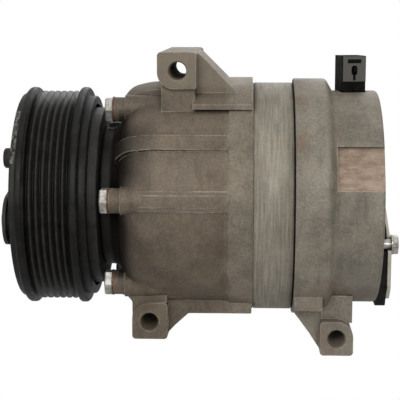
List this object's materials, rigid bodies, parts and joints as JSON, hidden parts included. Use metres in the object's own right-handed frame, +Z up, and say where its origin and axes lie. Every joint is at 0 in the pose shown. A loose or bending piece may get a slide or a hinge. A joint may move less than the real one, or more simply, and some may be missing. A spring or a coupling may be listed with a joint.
{
  "type": "automotive ac compressor",
  "caption": "Engine-driven refrigerant compressor with a poly-V belt pulley, an electromagnetic clutch, a cast cylindrical body and mounting ears.",
  "frame": {"origin": "on the shaft axis, in the middle plane of the belt pulley's grooves", "axes": "+X along the shaft towards the rear head, +Z up, and the mounting ears' bores along Y"},
  "size_m": [0.2191, 0.1337, 0.1653],
  "materials": {
    "cast_housing": "sand-cast, dull grey-brown",
    "machined_aluminium": "machined",
    "pulley_black": "black coated steel, matt",
    "zinc_steel": "zinc plated",
    "bearing_steel": "ground",
    "dark_steel": "phosphated",
    "copper_washer": "tarnished copper",
    "copper_winding": "enamelled copper in resin",
    "brass_fitting": "brass",
    "black_rubber": "matt",
    "connector_plastic": "moulded",
    "cover_cream": "cream zinc-chromate",
    "bearing_polymer": "moulded polyamide",
    "gasket_black": "coated steel gasket"
  },
  "bodies": {
    "casing": {"front_housing": "cast_housing", "cylinder_block": "cast_housing", "rear_head": "cast_housing", "through_bolts": "zinc_steel", "through_bolt_washers": "copper_washer", "housing_o_ring": "black_rubber", "suction_reed": "bearing_steel", "valve_plate": "dark_steel", "discharge_reed": "bearing_steel", "reed_retainer": "dark_steel", "rear_gasket": "gasket_black", "coil_shell": "pulley_black", "coil_winding": "copper_winding", "coil_snap_ring": "dark_steel", "bearing_inner_race": "bearing_steel", "bearing_snap_ring": "dark_steel", "shaft_seal": "black_rubber", "seal_snap_ring": "dark_steel", "front_shaft_bearing": "bearing_steel", "rear_shaft_bearing": "bearing_steel", "lug_thrust_bearing": "bearing_steel", "guide_pin": "bearing_steel", "control_valve": "brass_fitting", "relief_valve": "brass_fitting", "connector_body": "connector_plastic", "connector_terminals": "brass_fitting", "port_seal_block": "black_rubber", "port_cover_plate": "cover_cream", "port_cover_bolt": "zinc_steel", "oil_plug": "zinc_steel"},
    "belt_pulley": {"pulley": "pulley_black", "bearing_outer_race": "bearing_steel", "pulley_snap_ring": "dark_steel"},
    "ball_cage": {"bearing_balls": "bearing_steel", "bearing_cage": "bearing_polymer"},
    "shaft": {"drive_shaft": "bearing_steel", "shaft_key": "dark_steel", "shaft_nut": "zinc_steel", "clutch_hub": "dark_steel", "hub_plate": "dark_steel", "hub_rubbers": "black_rubber", "lug_plate": "dark_steel", "return_spring": "bearing_steel"},
    "armature": {"armature_plate": "dark_steel", "armature_rivets": "zinc_steel"},
    "sleeve": {"swash_journal": "dark_steel", "lug_pin": "bearing_steel", "journal_thrust_bearing": "bearing_steel"},
    "wobble": {"wobble_plate": "machined_aluminium", "guide_slider": "brass_fitting"},
    "piston_set_1": {"piston_1": "machined_aluminium", "piston_rod_1": "bearing_steel"},
    "piston_set_2": {"piston_2": "machined_aluminium", "piston_rod_2": "bearing_steel"},
    "piston_set_3": {"piston_3": "machined_aluminium", "piston_rod_3": "bearing_steel"},
    "piston_set_4": {"piston_4": "machined_aluminium", "piston_rod_4": "bearing_steel"},
    "piston_set_5": {"piston_5": "machined_aluminium", "piston_rod_5": "bearing_steel"}
  },
  "joints": [
    {"name": "pulley_spin", "type": "hinge", "parent": "casing", "child": "belt_pulley", "pos_m": [0, 0, 0], "axis": [1, 0, 0], "continuous": true},
    {"name": "ball_cage_spin", "type": "hinge", "parent": "casing", "child": "ball_cage", "pos_m": [0, 0, 0], "axis": [1, 0, 0], "continuous": true},
    {"name": "shaft_spin", "type": "hinge", "parent": "casing", "child": "shaft", "pos_m": [0, 0, 0], "axis": [1, 0, 0], "continuous": true},
    {"name": "armature_pull_in", "type": "slide", "parent": "shaft", "child": "armature", "axis": [1, 0, 0], "range_m": [0, 0.00038], "stiffness_N_per_m": 15000},
    {"name": "sleeve_slide", "type": "slide", "parent": "shaft", "child": "sleeve", "axis": [-1, 0, 0], "range_m": [0, 0.011], "stiffness_N_per_m": 1500, "deforming": ["return_spring"]},
    {"name": "wobble_slide", "type": "slide", "parent": "casing", "child": "wobble", "axis": [-1, 0, 0], "range_m": [0, 0.011]},
    {"name": "piston_1_slide", "type": "slide", "parent": "casing", "child": "piston_set_1", "axis": [-1, 0, 0], "range_m": [0, 0.011]},
    {"name": "piston_2_slide", "type": "slide", "parent": "casing", "child": "piston_set_2", "axis": [-1, 0, 0], "range_m": [0, 0.011]},
    {"name": "piston_3_slide", "type": "slide", "parent": "casing", "child": "piston_set_3", "axis": [-1, 0, 0], "range_m": [0, 0.011]},
    {"name": "piston_4_slide", "type": "slide", "parent": "casing", "child": "piston_set_4", "axis": [-1, 0, 0], "range_m": [0, 0.011]},
    {"name": "piston_5_slide", "type": "slide", "parent": "casing", "child": "piston_set_5", "axis": [-1, 0, 0], "range_m": [0, 0.011]}
  ],
  "couplings": [
    {"joint": "ball_cage_spin", "follows": "pulley_spin", "ratio": 0.5755},
    {"joint": "wobble_slide", "follows": "sleeve_slide", "ratio": 1},
    {"joint": "piston_1_slide", "follows": "sleeve_slide", "ratio": 1},
    {"joint": "piston_2_slide", "follows": "sleeve_slide", "ratio": 1},
    {"joint": "piston_3_slide", "follows": "sleeve_slide", "ratio": 1},
    {"joint": "piston_4_slide", "follows": "sleeve_slide", "ratio": 1},
    {"joint": "piston_5_slide", "follows": "sleeve_slide", "ratio": 1}
  ]
}
